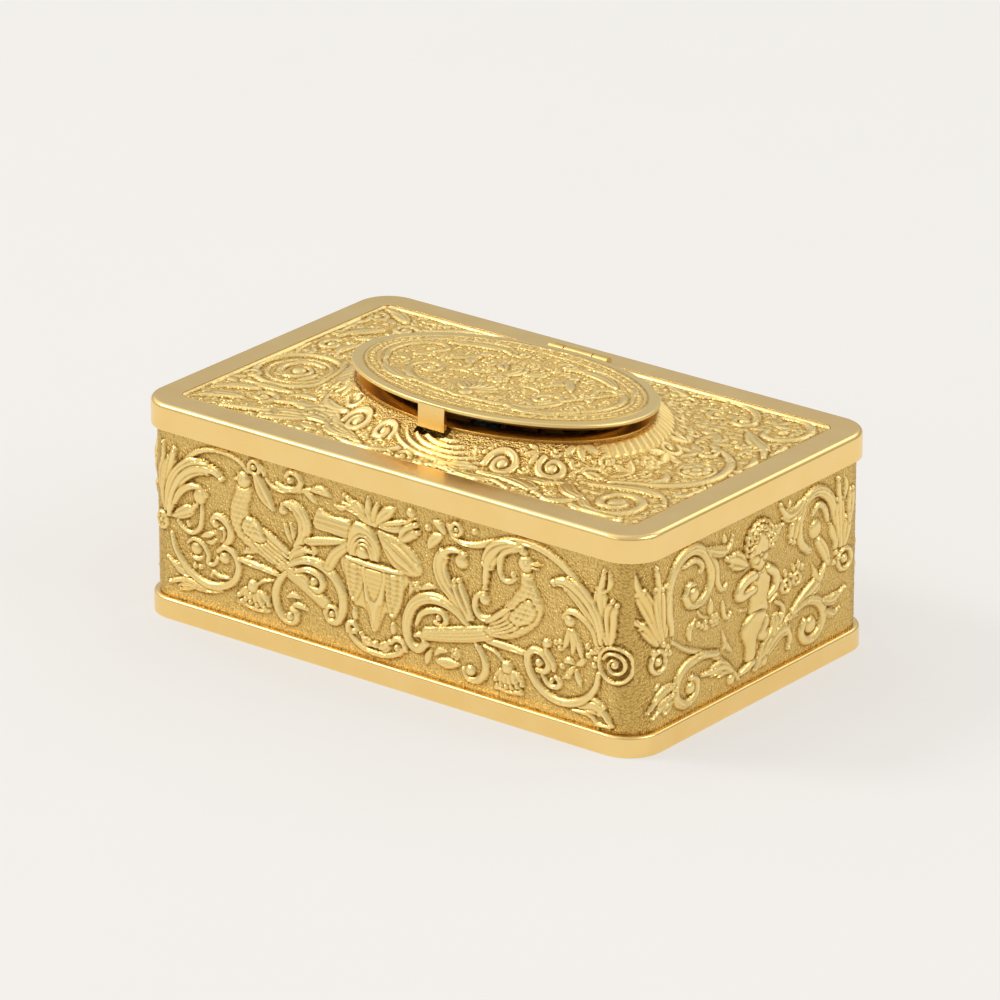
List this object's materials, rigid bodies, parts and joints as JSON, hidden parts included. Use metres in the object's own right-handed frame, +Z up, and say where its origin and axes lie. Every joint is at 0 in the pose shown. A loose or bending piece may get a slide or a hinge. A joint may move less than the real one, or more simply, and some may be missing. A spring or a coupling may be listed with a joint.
{
  "type": "music box",
  "caption": "Rectangular gilt singing-bird music box with embossed walls, rounded corners, a hinged oval lid over a grille, and a small bird that stands up as the lid opens.",
  "frame": {"origin": "middle of the case's underside, on the surface it stands on", "axes": "+X along the long front to the right, +Y to the rear where the lid hinge is, +Z up"},
  "size_m": [0.104, 0.065, 0.045],
  "materials": {
    "gilt": "gilded repousse metal, matte ground with burnished highlights",
    "gilt_polished": "burnished gilt",
    "movement_brass": "fine brushed brass",
    "steel": "polished steel",
    "leather": "thin kid leather",
    "board_wood": "close-grained wood",
    "feather": "small feathers",
    "feather_dark": "small feathers",
    "beak_horn": "horn"
  },
  "bodies": {
    "case": {"base_moulding": "gilt_polished", "base_plate": "gilt", "base_screws": "steel", "case_wall": "gilt", "top_frame": "gilt_polished", "top_panel": "gilt", "panel_rivets": "gilt_polished", "oval_well": "gilt_polished", "grille": "gilt", "bird_ears": "movement_brass", "bird_pivot_pin": "steel", "hinge_bracket": "gilt", "hinge_pin": "steel", "lower_plate": "movement_brass", "upper_plate": "movement_brass", "plate_pillars": "movement_brass", "plate_screws": "steel", "hanging_posts": "movement_brass", "click_stud": "steel", "click_spring": "steel", "bellows_fixed_board": "board_wood", "bellows_hinge_strip": "leather", "bellows_leather": "leather", "whistle_tube": "movement_brass", "whistle_saddles": "movement_brass", "wind_chest": "movement_brass", "lever_studs": "steel", "slide_rails": "movement_brass"},
    "lid": {"oval_lid": "gilt", "lid_knuckle": "gilt", "lid_tongue": "gilt_polished"},
    "carriage": {"bird_carrier": "movement_brass"},
    "bird": {"bird_body": "feather"},
    "beak": {"bird_beak": "beak_horn"},
    "wing_left": {"bird_wing_left": "feather_dark"},
    "wing_right": {"bird_wing_right": "feather_dark"},
    "tail": {"bird_tail": "feather_dark"},
    "barrel": {"barrel_drum": "movement_brass", "barrel_cap": "movement_brass", "great_wheel": "movement_brass", "mainspring": "steel"},
    "winding": {"winding_arbor": "steel", "ratchet_wheel": "steel"},
    "pawl": {"click": "steel"},
    "camshaft": {"second_arbor": "steel", "second_wheel": "movement_brass", "pitch_cam": "steel", "valve_cam": "steel", "bird_cam": "steel"},
    "crankshaft": {"crank_arbor": "steel", "third_wheel": "movement_brass"},
    "fly": {"fly_arbor": "steel", "fly_vanes": "movement_brass"},
    "rod": {"connecting_rod": "steel"},
    "board": {"bellows_moving_board": "board_wood"},
    "piston": {"whistle_piston": "steel"},
    "pitch_arm": {"pitch_lever": "steel"},
    "valve_arm": {"valve_lever": "steel"},
    "stop_arm": {"stop_lever": "steel"},
    "slide": {"start_slide": "gilt"}
  },
  "joints": [
    {"name": "lid_open", "type": "hinge", "parent": "case", "child": "lid", "pos_m": [0, 0.0201, 0.0419], "axis": [-1, 0, 0], "range_deg": [-3, 86]},
    {"name": "bird_rise", "type": "hinge", "parent": "case", "child": "carriage", "pos_m": [0, 0.0035, 0.0358], "axis": [-1, 0, 0], "range_deg": [-3, 86]},
    {"name": "bird_turn", "type": "hinge", "parent": "carriage", "child": "bird", "pos_m": [0, 0.00051, 0.03601], "axis": [0, -0.9976, 0.0698], "range_deg": [-6, 6]},
    {"name": "beak_open", "type": "hinge", "parent": "bird", "child": "beak", "pos_m": [0, -0.00745, 0.0322], "axis": [1, 0, 0], "range_deg": [0, 12]},
    {"name": "wing_left_flap", "type": "hinge", "parent": "bird", "child": "wing_left", "pos_m": [-0.00345, -0.00515, 0.03681], "axis": [0, 0.0698, 0.9976], "range_deg": [0, 7]},
    {"name": "wing_right_flap", "type": "hinge", "parent": "bird", "child": "wing_right", "pos_m": [0.00345, -0.00515, 0.03681], "axis": [0, -0.0698, -0.9976], "range_deg": [0, 7]},
    {"name": "tail_lift", "type": "hinge", "parent": "bird", "child": "tail", "pos_m": [0, -0.00111, 0.03873], "axis": [1, 0, 0], "range_deg": [0, 6]},
    {"name": "barrel_spin", "type": "hinge", "parent": "case", "child": "barrel", "pos_m": [-0.029, -0.001, 0.012], "axis": [0, 0, 1], "continuous": true},
    {"name": "winding_turn", "type": "hinge", "parent": "case", "child": "winding", "pos_m": [-0.029, -0.001, 0.004], "axis": [0, 0, 1], "continuous": true},
    {"name": "click_lift", "type": "hinge", "parent": "case", "child": "pawl", "pos_m": [-0.0191, -0.001, 0.004], "axis": [0, 0, 1], "range_deg": [0, 4]},
    {"name": "camshaft_spin", "type": "hinge", "parent": "case", "child": "camshaft", "pos_m": [-0.01209, 0.00516, 0.022], "axis": [0, 0, 1], "continuous": true},
    {"name": "crankshaft_spin", "type": "hinge", "parent": "case", "child": "crankshaft", "pos_m": [-0.00148, -0.00545, 0.009], "axis": [0, 0, 1], "continuous": true},
    {"name": "fly_spin", "type": "hinge", "parent": "case", "child": "fly", "pos_m": [0.00517, 0.00405, 0.009], "axis": [0, 0, 1], "continuous": true},
    {"name": "rod_turn", "type": "hinge", "parent": "crankshaft", "child": "rod", "pos_m": [-0.00148, -0.00445, 0.0158], "axis": [0, 0, 1], "continuous": true},
    {"name": "bellows_pump", "type": "hinge", "parent": "case", "child": "board", "pos_m": [0.031, 0.0123, 0.015], "axis": [0, 0, -1], "range_deg": [0, 3.2]},
    {"name": "piston_slide", "type": "slide", "parent": "case", "child": "piston", "axis": [1, 0, 0], "range_m": [0, 0.004]},
    {"name": "pitch_lever_turn", "type": "hinge", "parent": "case", "child": "pitch_arm", "pos_m": [0.00601, 0.01201, 0.0267], "axis": [0, 0, 1], "range_deg": [0, 3.6]},
    {"name": "valve_lever_turn", "type": "hinge", "parent": "case", "child": "valve_arm", "pos_m": [0.01401, 0.01501, 0.0284], "axis": [0, 0, -1], "range_deg": [0, 2.4]},
    {"name": "start_slide_move", "type": "slide", "parent": "case", "child": "slide", "axis": [0, 1, 0], "range_m": [0, 0.003]},
    {"name": "stop_lever_turn", "type": "hinge", "parent": "case", "child": "stop_arm", "pos_m": [-0.025, -0.009, 0.0264], "axis": [0, 0, -1], "range_deg": [0, 7.74]}
  ],
  "couplings": [
    {"joint": "bird_rise", "follows": "lid_open", "ratio": 1},
    {"joint": "camshaft_spin", "follows": "barrel_spin", "ratio": -5},
    {"joint": "crankshaft_spin", "follows": "barrel_spin", "ratio": 20},
    {"joint": "fly_spin", "follows": "barrel_spin", "ratio": -125},
    {"joint": "rod_turn", "follows": "barrel_spin", "ratio": -20},
    {"joint": "stop_lever_turn", "follows": "start_slide_move", "rad_per_m": 43.86}
  ]
}
